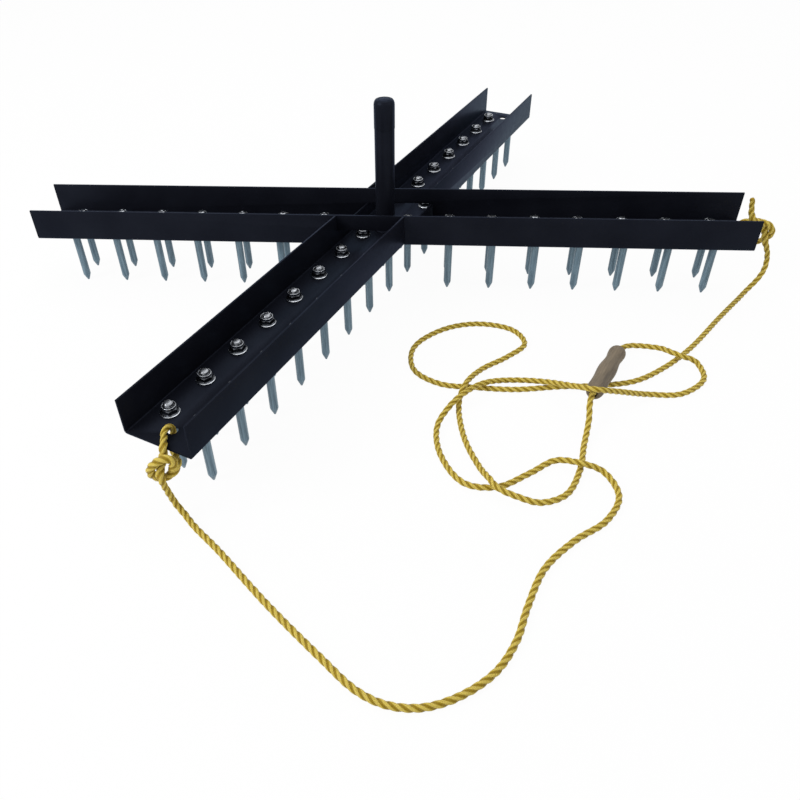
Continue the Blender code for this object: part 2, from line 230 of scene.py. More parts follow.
# One zinc plating in three lightnesses: the ring's is a lighter copy for a painted highlight, the flange's,
# also on the hex and the jam nut, a darker copy for painted shade, the stud's in between
zincLook = {
    "ring": {"deep": (0.42, 0.445, 0.48), "bright": (0.68, 0.71, 0.75), "gloss": (0.32, 0.22)},
    "stud": {"deep": (0.21, 0.222, 0.242), "bright": (0.37, 0.385, 0.41), "gloss": (0.32, 0.22)},
    "flange": {"deep": (0.042, 0.047, 0.055), "bright": (0.110, 0.117, 0.130), "gloss": (0.36, 0.24)},
    "cloud": (220, 4),
    "fleck": (900, 3),
    "relief": (0.06, 0.0003),
}


def platedZinc(part):
    look = zincLook[part]
    material, tree, shader = newMaterial(part + "Zinc")
    place = stretchedPlace(tree, (1, 1, 1))
    cloud = addNoise(tree, place, *zincLook["cloud"])
    colorBy(tree, shader, cloud, [(0.3, look["deep"]), (0.65, look["bright"])])
    roughnessBy(tree, shader, cloud, *look["gloss"])
    addBump(tree, shader, addNoise(tree, place, *zincLook["fleck"]), *zincLook["relief"])
    shader.inputs["Metallic"].default_value = 1.0
    return material


insertLook = {
    "deep": (0.004, 0.004, 0.005),
    "pale": (0.010, 0.010, 0.012),
    "cloud": (300, 2),
    "roughness": 0.6,
}


def nylonInsert():
    material, tree, shader = newMaterial("nylonInsert")
    cloud = addNoise(tree, stretchedPlace(tree, (1, 1, 1)), *insertLook["cloud"])
    colorBy(tree, shader, cloud, [(0.3, insertLook["deep"]), (0.7, insertLook["pale"])])
    shader.inputs["Roughness"].default_value = insertLook["roughness"]
    return material


woodLook = {
    "pale": (0.240, 0.190, 0.128),
    "mid": (0.138, 0.109, 0.075),
    "dark": (0.056, 0.046, 0.035),
    "grainStretch": 0.09,
    "grain": (95, 8, 0.68),
    "fibreStretch": 0.03,
    "fibre": (420, 4, 0.6),
    "fibreShare": 0.5,
    "relief": (0.5, 0.0012),
    "roughness": 0.66,
}


def weatheredWood():
    material, tree, shader = newMaterial("weatheredWood")
    turned = addNode(tree, "ShaderNodeAttribute", attribute_name="turnedPlace")

    def drawnOut(share):
        mapping = addNode(tree, "ShaderNodeMapping", {"Scale": (1, 1, share)})
        tree.links.new(turned.outputs["Vector"], mapping.inputs["Vector"])
        return mapping.outputs["Vector"]

    grain = addNoise(tree, drawnOut(woodLook["grainStretch"]), *woodLook["grain"])
    fibre = addNoise(tree, drawnOut(woodLook["fibreStretch"]), *woodLook["fibre"])
    both = addShare(tree, fibre, woodLook["fibreShare"], grain)
    stops = [(0.48, woodLook["dark"]), (0.66, woodLook["mid"]), (0.95, woodLook["pale"])]
    colorBy(tree, shader, both, stops)
    addBump(tree, shader, both, *woodLook["relief"])
    shader.inputs["Roughness"].default_value = woodLook["roughness"]
    return material


# the crest colour is a painted highlight on each strand's ridge, the groove colour a painted shade between
# the strands
ropeLook = {
    "crest": (0.80, 0.615, 0.115),
    "flank": (0.42, 0.283, 0.012),
    "shadedGroove": (0.355, 0.222, 0.006),
    "fibreStretch": (3, 60, 1),
    "fibre": (1.0, 5, 0.65),
    "fibreShare": 0.30,
    "fibreRelief": (0.35, 0.0004),
    "yarns": {"Scale": 4.0, "Distortion": 1.2, "Detail": 3.0, "Detail Scale": 2.0},
    "yarnShare": 0.12,
    "yarnRelief": (0.55, 0.0007),
    "roughness": 0.42,
    "mirror": 0.26,
    "sheen": 0.05,
}


def yellowRope():
    material, tree, shader = newMaterial("yellowRope")
    depth = addNode(tree, "ShaderNodeAttribute", attribute_name="strandDepth")
    yarnPlace = addNode(tree, "ShaderNodeUVMap", uv_map="lay")
    stretch = addNode(tree, "ShaderNodeMapping", {"Scale": ropeLook["fibreStretch"]})
    tree.links.new(yarnPlace.outputs["UV"], stretch.inputs["Vector"])
    fibre = addNoise(tree, stretch.outputs["Vector"], *ropeLook["fibre"])
    yarns = addNode(tree, "ShaderNodeTexWave", ropeLook["yarns"], wave_type="BANDS", bands_direction="Y")
    tree.links.new(yarnPlace.outputs["UV"], yarns.inputs["Vector"])
    shade = addShare(tree, fibre, ropeLook["fibreShare"], depth.outputs["Fac"])
    lift = addShare(tree, yarns.outputs["Fac"], ropeLook["yarnShare"], shade)
    # colour by strand depth: painted shade in the grooves, a painted highlight on the crests, with fibre and
    # yarn marks
    stops = [(0.12, ropeLook["shadedGroove"]), (0.68, ropeLook["flank"]), (1.0, ropeLook["crest"])]
    colorBy(tree, shader, lift, stops)
    yarnBump = addBump(tree, shader, yarns.outputs["Fac"], *ropeLook["yarnRelief"])
    addBump(tree, shader, fibre, *ropeLook["fibreRelief"], yarnBump)
    shader.inputs["Roughness"].default_value = ropeLook["roughness"]
    shader.inputs["Specular IOR Level"].default_value = ropeLook["mirror"]
    shader.inputs["Sheen Weight"].default_value = ropeLook["sheen"]
    return material


coat, galvanised, insert = blackCoat(), galvanisedSteel(), nylonInsert()
# lit and shaded copies of the same zinc: painted highlight on the rings, painted shade on the flanges
litRingZinc, studZinc, shadedFlangeZinc = platedZinc("ring"), platedZinc("stud"), platedZinc("flange")
wood, yellow = weatheredWood(), yellowRope()
print("stage: finishes made")


# Mesh helpers

def newPiece(name, bm, *materials):
    bmesh.ops.recalc_face_normals(bm, faces=bm.faces)
    mesh = bpy.data.meshes.new(name)
    bm.to_mesh(mesh)
    bm.free()
    for material in materials:
        mesh.materials.append(material)
    obj = bpy.data.objects.new(name, mesh)
    bpy.context.scene.collection.objects.link(obj)
    return obj


def roundOff(obj, degrees):
    obj.data.shade_smooth()
    obj.data.set_sharp_from_angle(angle=math.radians(degrees))


def joinRings(bm, lower, upper, slot=0):
    count = len(lower)
    for i in range(count):
        face = bm.faces.new((lower[i], lower[(i + 1) % count], upper[(i + 1) % count], upper[i]))
        face.material_index = slot


def latheRing(bm, radius, height, count):
    ring = []
    for i in range(count):
        angle = 2 * math.pi * i / count
        r = radius(angle) if callable(radius) else radius
        z = height(angle) if callable(height) else height
        ring.append(bm.verts.new((r * math.cos(angle), r * math.sin(angle), z)))
    return ring


def latheStack(bm, outline, count, closeLow=True, closeHigh=True, slot=0, bands=()):
    # bands hold (first ring, slot) where another material starts
    rings = [latheRing(bm, radius, height, count) for radius, height in outline]
    for i, (lower, upper) in enumerate(zip(rings, rings[1:])):
        slot = dict(bands).get(i, slot)
        joinRings(bm, lower, upper, slot)
    if closeLow:
        bm.faces.new(list(reversed(rings[0]))).material_index = slot
    if closeHigh:
        bm.faces.new(rings[-1]).material_index = slot
    return rings


def extruded(bm, corners, reach):
    face = bm.faces.new([bm.verts.new(corner) for corner in corners])
    added = bmesh.ops.extrude_face_region(bm, geom=[face])["geom"]
    moved = [v for v in added if isinstance(v, bmesh.types.BMVert)]
    bmesh.ops.translate(bm, verts=moved, vec=reach)


def turnedBy(bm, matrix):
    bmesh.ops.rotate(bm, verts=bm.verts, cent=(0, 0, 0), matrix=matrix)


def bakeModifiers(obj):
    depsgraph = bpy.context.evaluated_depsgraph_get()
    mesh = bpy.data.meshes.new_from_object(obj.evaluated_get(depsgraph))
    obj.modifiers.clear()
    obj.data = mesh


# Channels: folded sheet, crossed in a half lap

channel = {
    "sheet": 3 * mm,
    "outerBend": 4.5 * mm,
    "bendSteps": 7,
    "crossing": math.radians(66.5),
    "fit": 0.3 * mm,
    "ropeHole": 13.5 * mm,
    "holeInset": 29 * mm,
    "holeSides": 40,
    "cutterReach": 300 * mm,
    "overcut": 10 * mm,
    "edgeRound": 0.55 * mm,
    "edgeSteps": 2,
    "roundedFrom": 50,  # degrees between two faces
    "smoothUpTo": 35,
}

upperLow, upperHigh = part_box("upper_channel")
armLength = upperHigh.x - upperLow.x
armWidth = upperHigh.y - upperLow.y
webUnder, flangeTop = upperLow.z, upperHigh.z
webTop = webUnder + channel["sheet"]
lapHeight = (webUnder + flangeTop) / 2


def onArm(angle, along, across):
    c, s = math.cos(angle), math.sin(angle)
    return along * c - across * s, along * s + across * c


def foldPoints(centreAcross, radius, start, end):
    steps = channel["bendSteps"]
    return [(centreAcross + radius * math.cos(start + (end - start) * i / steps),
             webUnder + channel["outerBend"] + radius * math.sin(start + (end - start) * i / steps))
            for i in range(steps + 1)]


def outerFolds(bend, radius):
    quarter = math.pi / 2
    return foldPoints(-bend, radius, 2 * quarter, 3 * quarter) + foldPoints(bend, radius, -quarter, 0)


def foldedSection():
    half, sheet, quarter = armWidth / 2, channel["sheet"], math.pi / 2
    bend = half - channel["outerBend"]
    inner = channel["outerBend"] - sheet
    return ([(-half, flangeTop)] + outerFolds(bend, channel["outerBend"])
            + [(half, flangeTop), (half - sheet, flangeTop)]
            + foldPoints(bend, inner, 0, -quarter) + foldPoints(-bend, inner, 3 * quarter, 2 * quarter)
            + [(-half + sheet, flangeTop)])


def holeCutter(x, y):
    bm = bmesh.new()
    radius, sides = channel["ropeHole"] / 2, channel["holeSides"]
    low, high = webUnder - channel["overcut"], webTop + channel["overcut"]
    angles = [2 * math.pi * i / sides for i in range(sides)]
    corners = [(x + radius * math.cos(a), y + radius * math.sin(a), low) for a in angles]
    extruded(bm, corners, (0, 0, high - low))
    return newPiece("holeCutter", bm)


def cutWith(obj, cutters):
    for cutter in cutters:
        modifier = obj.modifiers.new("cut", "BOOLEAN")
        modifier.operation = "DIFFERENCE"
        modifier.solver = "EXACT"
        modifier.object = cutter
    bakeModifiers(obj)
    for cutter in cutters:
        bpy.data.objects.remove(cutter, do_unlink=True)


def lapCutter(otherAngle, low, high, coped):
    gap, reach = channel["fit"], channel["cutterReach"]
    half, bend = armWidth / 2 + gap, armWidth / 2 - channel["outerBend"]
    section = outerFolds(bend, channel["outerBend"] + gap) if coped else [(-half, low), (half, low)]
    section += [(half, high), (-half, high)]
    bm = bmesh.new()
    extruded(bm, [(-reach, y, z) for y, z in section], (2 * reach, 0, 0))
    turnedBy(bm, Matrix.Rotation(otherAngle, 3, "Z"))
    return newPiece("lapCutter", bm)


# coped is for the upper channel, whose web is cut round the lower one's folds
def foldedArm(name, angle, otherAngle, lapLow, lapTop, coped):
    bm = bmesh.new()
    extruded(bm, [(-armLength / 2, y, z) for y, z in foldedSection()], (armLength, 0, 0))
    turnedBy(bm, Matrix.Rotation(angle, 3, "Z"))
    arm = newPiece(name, bm, coat)
    inset = armLength / 2 - channel["holeInset"]
    cutters = [holeCutter(*onArm(angle, end * inset, 0)) for end in (-1, 1)]
    cutters.append(lapCutter(otherAngle, lapLow, lapTop, coped))
    cutWith(arm, cutters)
    soften = arm.modifiers.new("soften", "BEVEL")
    soften.width = channel["edgeRound"]
    soften.segments = channel["edgeSteps"]
    soften.limit_method = "ANGLE"
    soften.angle_limit = math.radians(channel["roundedFrom"])
    bakeModifiers(arm)
    roundOff(arm, channel["smoothUpTo"])
    return arm


lowerArm = foldedArm("lowerArm", channel["crossing"], 0,
                     lapHeight - channel["fit"] / 2, flangeTop + channel["overcut"], False)
upperArm = foldedArm("upperArm", 0, channel["crossing"],
                     webUnder - channel["overcut"], lapHeight + channel["fit"] / 2, True)
for arm, node in ((lowerArm, "lower_channel"), (upperArm, "upper_channel")):
    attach(arm, "frame")
    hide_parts(node)
print("stage: channels folded and crossed")


# Tines: bluntly pointed rod, jam nut below, threaded stud and flange lock nut above

tine = {
    "perRow": 16,
    "pitch": 74 * mm,
    "rowOffset": 25 * mm,
    "leftOut": (7, 8),  # places of the upper arm that lie over the lower one
    "rod": 6.35 * mm,
    "point": 12 * mm,
    "tip": 1.7 * mm,
    "acrossFlats": 19.4 * mm,
    "chamfer": 0.75,
    "jamNut": 6.4 * mm,
    "flange": 13.2 * mm,
    "hexTop": 8.3 * mm,
    "collar": 9.5 * mm,
    "collarTop": 12 * mm,
    "lip": 1.5 * mm,
    "insertDrop": 1.5 * mm,
    "threadPitch": 1.95 * mm,
    "threadDepth": 0.45 * mm,
    "threadStep": 0.27 * mm,
    "crestFlat": 1.25,
    "studSunk": 4 * mm,
    "studEnd": 1.6 * mm,
    "studTaper": 1.2 * mm,
    "studShows": (2.2 * mm, 2.9 * mm, 3.5 * mm),
    "nearStudShows": 4.8 * mm,
    "hiddenStudShows": 0.6 * mm,
    "collarShorter": 1.4 * mm,  # on the lower arm's right row, behind its flange
    "rodSides": 24,
    "nutSides": 48,
    "smoothUpTo": 32,
    "seed": 11,
}
# a tine's slots, in the order of its finishes; the ring's zinc is a lighter copy as painted highlight, the
# flange's a darker copy as painted shade
rodSlot, litZincSlot, insertSlot, shadedZincSlot, studSlot = range(5)
tineFinishes = (galvanised, litRingZinc, insert, shadedFlangeZinc, studZinc)


def hexRadius(angle):
    flat = tine["acrossFlats"] / 2
    turned = (angle + math.pi / 6) % (math.pi / 3) - math.pi / 6
    return flat / math.cos(turned)


def hexChamfer(angle):
    return (hexRadius(angle) - tine["acrossFlats"] / 2) * tine["chamfer"]


def rodRings(bm, jamLow):
    r, point, tip = tine["rod"], tine["point"], tine["tip"]
    rod = [(tip * 0.55, 0), (tip * 0.88, 0.15 * mm), (tip, 0.55 * mm), (tip + (r - tip) * 0.48, point * 0.50),
           (r * 0.965, point * 0.96), (r * 0.993, point * 1.05), (r, point * 1.16), (r, jamLow + 1 * mm)]
    latheStack(bm, rod, tine["rodSides"], slot=rodSlot)


def nutRings(bm, seat, high, topSlot):
    flat, collar, lip, flange = tine["acrossFlats"] / 2, tine["collar"], tine["lip"], tine["flange"]
    top = seat + tine["hexTop"]
    floor = high - tine["insertDrop"]
    nut = [(flange * 0.96, seat), (flange * 0.995, seat + 0.3 * mm), (flange, seat + 0.75 * mm),
           (flange * 0.985, seat + 1.2 * mm), (flange * 0.94, seat + 1.5 * mm),
           (lambda a: hexRadius(a) * 1.03, seat + 2.5 * mm), (hexRadius, seat + 3.0 * mm),
           (hexRadius, lambda a: top - hexChamfer(a)), (flat * 1.004, top + 0.05 * mm),
           (collar * 0.985, top + 0.2 * mm), (collar, top + 0.7 * mm), (collar, high - 0.55 * mm),
           (collar - 0.12 * mm, high - 0.18 * mm), (collar - 0.36 * mm, high),
           (collar - lip + 0.2 * mm, high - 0.05 * mm), (collar - lip, high - 0.3 * mm),
           (collar - lip * 1.02, floor)]
    # the flange's rim and the collar take the lighter zinc as painted highlight, the flange's slope and the
    # hex the darker zinc as painted shade
    rings = latheStack(bm, nut, tine["nutSides"], closeHigh=False, slot=shadedZincSlot,
                       bands=((1, litZincSlot), (4, shadedZincSlot), (10, topSlot)))
    inner = latheRing(bm, tine["rod"] * 0.9, floor - 0.3 * mm, tine["nutSides"])
    joinRings(bm, rings[-1], inner, slot=insertSlot)


def jamRings(bm, low, high):
    flat = tine["acrossFlats"] / 2
    jam = [(flat * 0.9, low), (flat * 0.985, low + 0.05 * mm), (hexRadius, lambda a: low + hexChamfer(a)),
           (hexRadius, lambda a: high - hexChamfer(a)), (flat * 0.985, high - 0.05 * mm), (flat * 0.9, high)]
    latheStack(bm, jam, tine["nutSides"], slot=shadedZincSlot)


def studRings(bm, low, high, pitted):
    r = tine["rod"]

    def threadRadius(z):
        def radius(angle):
            turn = (z / tine["threadPitch"] - angle / (2 * math.pi)) % 1
            crest = min(1, tine["crestFlat"] * (1 - abs(2 * turn - 1)))
            end = max(0, (z - (high - tine["studEnd"])) / tine["studEnd"])
            return (r - tine["threadDepth"] * (1 - crest)) - end**2 * tine["studTaper"]
        return radius

    rows = round((high - low) / tine["threadStep"])
    heights = [low + (high - low) * i / rows for i in range(rows + 1)]
    stud = [(threadRadius(z), z) for z in heights]
    stud += [(r * 0.74, high + 0.18 * mm), (r * 0.66, high + 0.26 * mm)]
    if pitted:
        stud += [(r * 0.34, high + 0.28 * mm), (r * 0.22, high - 0.5 * mm)]
    else:
        stud += [(r * 0.2, high + 0.42 * mm)]
    latheStack(bm, stud, tine["nutSides"], closeLow=False, slot=studSlot)


def tineMesh(shows, pitted=False, shadedBehindFlange=False):
    bm = bmesh.new()
    jamHigh = webUnder - channel["fit"]
    jamLow = jamHigh - tine["jamNut"]
    rodRings(bm, jamLow)
    jamRings(bm, jamLow, jamHigh)
    seat = webTop + channel["fit"]
    # behind the flange the collar is shorter, and its top takes the darker zinc as painted shade
    collarTop = seat + tine["collarTop"] - (tine["collarShorter"] if shadedBehindFlange else 0)
    nutRings(bm, seat, collarTop, shadedZincSlot if shadedBehindFlange else litZincSlot)
    studRings(bm, collarTop - tine["studSunk"], collarTop + shows, pitted)
    bmesh.ops.recalc_face_normals(bm, faces=bm.faces)
    mesh = bpy.data.meshes.new("tine")
    bm.to_mesh(mesh)
    bm.free()
    for material in tineFinishes:
        mesh.materials.append(material)
    mesh.shade_smooth()
    mesh.set_sharp_from_angle(angle=math.radians(tine["smoothUpTo"]))
    return mesh


def placeTines():
    meshes = [tineMesh(shows, pitted=i == 1) for i, shows in enumerate(tine["studShows"])]
    nearest = tineMesh(tine["nearStudShows"])
    # the lower arm's right row has its ring tops in the darker zinc, a painted shade behind the flange
    hidden = tineMesh(tine["hiddenStudShows"], shadedBehindFlange=True)  # the lower arm's right row
    spin = random.Random(tine["seed"])
    middle = (tine["perRow"] - 1) / 2
    for arm, angle, skipped in (("lower", channel["crossing"], ()), ("upper", 0, tine["leftOut"])):
        for place in range(tine["perRow"]):
            if place in skipped:
                continue
            for side, across in (("left", tine["rowOffset"]), ("right", -tine["rowOffset"])):
                node = f"{arm}_tine_{side}_{place + 1:02d}"
                mesh = spin.choice(meshes)
                if arm == "lower" and side == "right":
                    mesh = hidden
                if node == "lower_tine_left_01":
                    mesh = nearest
                obj = bpy.data.objects.new(node.replace("_", ""), mesh)
                bpy.context.scene.collection.objects.link(obj)
                obj.location = (*onArm(angle, (place - middle) * tine["pitch"], across), 0)
                obj.rotation_euler = (0, 0, spin.uniform(0, 2 * math.pi))
                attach(obj, "frame")
                if node in frame["nodes"]:
                    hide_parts(node)


placeTines()
print("stage: tines set")


# Weight post and its cap

post = {
    "radius": 16.4 * mm,
    "bore": 0.85,  # of the radius
    "top": 325.6 * mm,
    "sides": 96,
    "capOver": 0.42 * mm,
    "underCap": 2 * mm,
    "skirt": 47 * mm,
    "dome": 9.5 * mm,
    "rings": (9.2 * mm, 13.6 * mm),
    "ringDepth": 0.45 * mm,
    "smoothUpTo": 40,
}


def weightPost():
    bm = bmesh.new()
    outer, inner = post["radius"], post["radius"] * post["bore"]
    low, high = webTop + channel["fit"], post["top"] - post["dome"] - post["underCap"]
    tube = [(outer, low), (outer, high), (inner, high), (inner, low)]
    rings = latheStack(bm, tube, post["sides"], closeLow=False, closeHigh=False)
    joinRings(bm, rings[-1], rings[0])
    obj = newPiece("weightPost", bm, coat)
    roundOff(obj, post["smoothUpTo"])
    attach(obj, "frame")
    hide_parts("weight_post")


weld = {
    "size": 3.6 * mm,
    "under": 0.4 * mm,
    "ripples": 30,
    "rippleRange": (0.75, 1.15),
    "seed": 4,
    "sides": 120,
    "profile": ((1, 0), (0.92, 0.30), (0.62, 0.66), (0.25, 0.95), (0, 1)),  # shares out and up
    "smoothUpTo": 60,
}


def postWeld():
    bm = bmesh.new()
    ripple = random.Random(weld["seed"])
    bumps = [ripple.uniform(*weld["rippleRange"]) for i in range(weld["ripples"])]
    inner = post["radius"] - weld["under"]

    def bead(angle):
        place = angle / (2 * math.pi) * len(bumps)
        i = int(place) % len(bumps)
        part = place - int(place)
        return weld["size"] * (bumps[i] * (1 - part) + bumps[(i + 1) % len(bumps)] * part)

    def beadRing(out, up):
        return lambda a: inner + bead(a) * out, lambda a: webTop + bead(a) * up

    outline = [(inner, webTop)] + [beadRing(out, up) for out, up in weld["profile"]]
    rings = latheStack(bm, outline, weld["sides"], closeLow=False, closeHigh=False)
    joinRings(bm, rings[-1], rings[0])
    obj = newPiece("postWeld", bm, coat)
    roundOff(obj, weld["smoothUpTo"])
    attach(obj, "frame")


def postCap():
    bm = bmesh.new()
    outer, top, dome = post["radius"] + post["capOver"], post["top"], post["dome"]
    rim = top - post["skirt"]
    outline = [(post["radius"] + 0.15 * mm, rim + 0.2 * mm), (outer - 0.15 * mm, rim),
               (outer, rim + 0.4 * mm), (outer, top - dome), (outer * 0.988, top - dome * 0.74),
               (outer * 0.957, top - dome * 0.50), (outer * 0.908, top - dome * 0.33),
               (outer * 0.85, top - dome * 0.225)]
    for radius in reversed(post["rings"]):
        height = top - dome * 0.20 * (radius / (0.85 * outer)) ** 2
        outline += [(radius + 0.5 * mm, height), (radius + 0.1 * mm, height - post["ringDepth"]),
                    (radius - 0.1 * mm, height - post["ringDepth"]), (radius - 0.5 * mm, height)]
    outline += [(outer * 0.36, top - dome * 0.05), (outer * 0.18, top - dome * 0.02), (outer * 0.06, top)]
    latheStack(bm, outline, post["sides"], closeLow=False)
    obj = newPiece("postCap", bm, coat)
    roundOff(obj, post["smoothUpTo"])
    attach(obj, "frame")
    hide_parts("post_cap")


weightPost()
postWeld()
postCap()
print("stage: post and cap made")


# Handle: turned and bored, with its ball's end on the ground

handle = {
    "ball": (374.3 * mm, -231.6 * mm, 13.8 * mm),
    "ballInset": 9.5 * mm,
    "heading": math.radians(244.97),
    "tilt": math.radians(7.5),
    "length": 142.5 * mm,
    "bore": 6 * mm,
    "endFace": 7.75 * mm,
    "endSteps": 7,
    "stations": [(9.5, 13.3), (33, 11.7), (69, 14.05), (104, 12.6), (127.5, 13.1)],  # place and radius, mm
    "stationSteps": 9,
    "scoreAt": (4, 128),
    "scoreDepth": 0.4 * mm,
    "scoreWidth": 0.7 * mm,
    "sides": 96,
    "smoothUpTo": 50,
}


def handleAxis():
    level, heading = math.cos(handle["tilt"]), handle["heading"]
    return Vector((level * math.cos(heading), level * math.sin(heading), math.sin(handle["tilt"])))


def inHandle(along):
    return Vector(handle["ball"]) + handleAxis() * (along - handle["ballInset"])


def roundedEnd(station, end):
    place, radius = station[0] * mm, station[1] * mm
    face, steps = handle["endFace"], handle["endSteps"]
    angles = [math.pi / 2 * i / steps for i in range(steps)]
    return [(face + (radius - face) * math.sin(a), end + (place - end) * (1 - math.cos(a))) for a in angles]


def handleOutline():
    stations = handle["stations"]
    outline = roundedEnd(stations[0], 0)
    for (start, wide), (stop, narrow) in zip(stations, stations[1:]):
        for i in range(handle["stationSteps"]):
            share = i / handle["stationSteps"]
            ease = (1 - math.cos(math.pi * share)) / 2
            outline.append(((wide + (narrow - wide) * ease) * mm, (start + (stop - start) * share) * mm))
    outline.append((stations[-1][1] * mm, stations[-1][0] * mm))
    return outline + list(reversed(roundedEnd(stations[-1], handle["length"])))


def scored(outline):
    # a shallow turned line at each scored place
    cut = []
    width, edge = handle["scoreWidth"], 0.03 * mm
    marks = [place * mm for place in handle["scoreAt"]]
    for (radius, along), (_, after) in zip(outline, outline[1:] + outline[-1:]):
        cut.append((radius, along))
        if marks and along <= marks[0] < after:
            place = marks.pop(0)
            cut += [(radius - edge, place), (radius - handle["scoreDepth"], place + width / 2),
                    (radius - edge, place + width)]
    return cut


def pullHandle():
    bm = bmesh.new()
    bore, length = handle["bore"], handle["length"]
    outline = [(bore, 1.2 * mm), (bore * 1.03, 0.4 * mm)] + scored(handleOutline())
    outline += [(bore * 1.03, length - 0.4 * mm), (bore, length - 1.2 * mm)]
    rings = latheStack(bm, outline, handle["sides"], closeLow=False, closeHigh=False)
    joinRings(bm, rings[-1], rings[0])
    turned = bm.verts.layers.float_vector.new("turnedPlace")
    for v in bm.verts:
        v[turned] = v.co
    turnedBy(bm, Vector((0, 0, 1)).rotation_difference(handleAxis()).to_matrix())
    obj = newPiece("pullHandle", bm, wood)
    obj.location = inHandle(0)
    roundOff(obj, handle["smoothUpTo"])
    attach(obj, "handle")
    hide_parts("pull_handle")


pullHandle()
print("stage: handle turned")


# Rope: three strands laid right-handed, knotted to two arms and threaded through the handle

rope = {
    "diameter": 9.5 * mm,
    "lay": 35 * mm,
    "strands": 3,
    "strand": 2.7 * mm,
    "strandCentre": 1.72 * mm,
    "round": 27,
    "step": 1.9 * mm,
    "routeStep": 0.8 * mm,
    "fuzz": 0.06 * mm,
    "fuzzSeed": 5,
    "lead": 7 * mm,
    "endsGap": 0.3 * mm,
    "pressedSwell": 0.30,
    "pressedWithin": 16 * mm,
    "pressedAfter": 25 * mm,
    "pressedSpread": 11,
    "swellFade": 8,
    "cutEnd": ((0.72, 0.35), (0.90, 0.35), (0.98, 1)),  # size and strand depth of the first rings
    "lowest": 0.05 * mm,
    "yarnScale": 100,
    "pathEvery": 4,
}

# Knots: out past the arm's end, across and up, in mm
frontKnot = [
    (12.2, -23.9, 80), (10.8, -26.6, 82.1), (8.6, -28.9, 87.5), (8.8, -28.5, 92.6), (10.6, -25.4, 96.3),
    (14.2, -20.5, 97), (18.2, -14.1, 93.8), (21.6, -7.8, 87.6), (23.2, -2.9, 79.5), (22.1, -1.6, 70.5),
    (18.5, -3.7, 63.7), (14.4, -8.7, 61.1), (11.6, -16.4, 64.2), (7.6, -22.2, 69), (3.2, -25.5, 74.7),
    (-1.9, -24.6, 79.7), (-6.5, -19.4, 82.2), (-10.5, -13, 83.5), (-15.8, -5.5, 85.3),
    (-21.5, -0.6, 86.8), (-27, 0, 90.7), (-29, 0, 97), (-28.9, 0.3, 103), (-26.2, 1.5, 107.6),
    (-20.8, 2, 108.9), (-14, -0.3, 107.4), (-6.5, -6, 106.2), (0.2, -11.2, 106), (4.6, -12.9, 103),
    (6.3, -13.4, 97.3), (8.1, -13, 92), (12.2, -12.6, 84.5), (17.4, -13.2, 78.5), (21.6, -15.5, 73),
    (23, -17.8, 67),
]

rightKnot = [
    (-9.3, -6, 169), (-6.6, -6.5, 155), (-4.5, -9, 143.8), (-1, -13.5, 135.5), (6, -16.5, 132),
    (16, -17.8, 131.5), (25, -17.8, 127.5), (32, -16.8, 119.5), (35.2, -12.8, 110.5),
    (36.6, -6.5, 102.8), (35.8, -2.2, 96.3), (30.8, -0.6, 91), (21.5, -2.2, 88), (10, -2.2, 86.8),
    (0, -0.5, 87), (-13, 0, 86.5), (-22, 0, 87), (-27.2, 0, 91), (-29, 0, 97), (-29, -0.5, 105),
    (-26, -2, 114), (-18.5, -4, 122), (-8, -5, 126.8), (2.5, -6.2, 128.3), (12.6, -7, 128),
    (19.5, -9, 124.5), (23.2, -11.4, 117), (25.6, -14.2, 107.5), (28.5, -16, 97.5), (33, -17.5, 87.5),
    (37, -18.5, 78),
]

# Runs: x, y and height, in mm
frontRun = [
    (-236.3, -585.6, 60), (-235.4, -584, 50.5), (-233.2, -583, 38), (-230.8, -581.9, 25.5),
    (-226.3, -582.9, 15.2), (-218.8, -587.5, 8.4), (-203, -603.5, 5.2), (-164, -639, 5), (-91, -711, 5),
    (-22, -773, 5), (20, -808, 5), (51, -821, 5), (86, -822, 5), (124, -808, 5), (163, -778, 5),
    (187, -740, 5), (202, -697, 5), (226, -643, 5), (265, -600, 5), (309, -565, 5), (331, -522, 5),
    (317, -484, 8), (288, -478, 16.3), (257, -466, 8), (221, -489, 5), (177, -516, 5), (135, -512, 5),
    (104, -463, 5), (98, -406, 7), (114, -375, 17), (134, -352, 23), (168, -315, 15.6), (214, -296, 7),
    (257, -308, 15.4), (288, -335, 32), (316, -360, 46.5), (354, -346, 32), (406, -321, 8),
    (456, -314, 5), (497, -277, 5), (496.7, -241, 6), (489, -236, 10), (473, -235, 15),
    (459, -226, 15.6), (447, -211, 11.5), (429, -202, 8), (412, -200.6, 8), (397, -204, 9.5),
]

rightRun = [
    (311, -374, 28), (310, -388, 18), (306, -406, 9), (299, -432, 5), (287, -481, 5), (264, -525, 5),
    (230, -541, 6), (202, -537, 10.5), (177, -527.5, 15.3), (166, -511, 15.5), (155.5, -485, 8),
    (137, -430, 5), (129, -371, 5), (131, -342, 10.5), (139.5, -318, 16), (165, -273, 8),
    (207, -235, 5), (236, -200, 5), (220, -163, 5), (166, -147, 5), (108, -164, 5), (59, -217, 5),
    (61, -276, 5), (101, -308, 5), (154, -314, 5), (213, -316, 5), (280, -306, 5), (340, -300, 4.9),
    (394, -287, 5), (445, -251, 5), (495, -200, 5), (564, -110, 5), (609.6, -52.5, 5),
    (628.5, -30.5, 9), (639.5, -22.5, 17.5), (645.5, -22.2, 30), (649, -22.5, 44), (650, -21.5, 56),
    (649.2, -19.5, 67),
]


def pastEnd(angle, end, point):
    outward, across, height = (value * mm for value in point)
    return Vector((*onArm(angle, end * (armLength / 2 + outward), across), height))


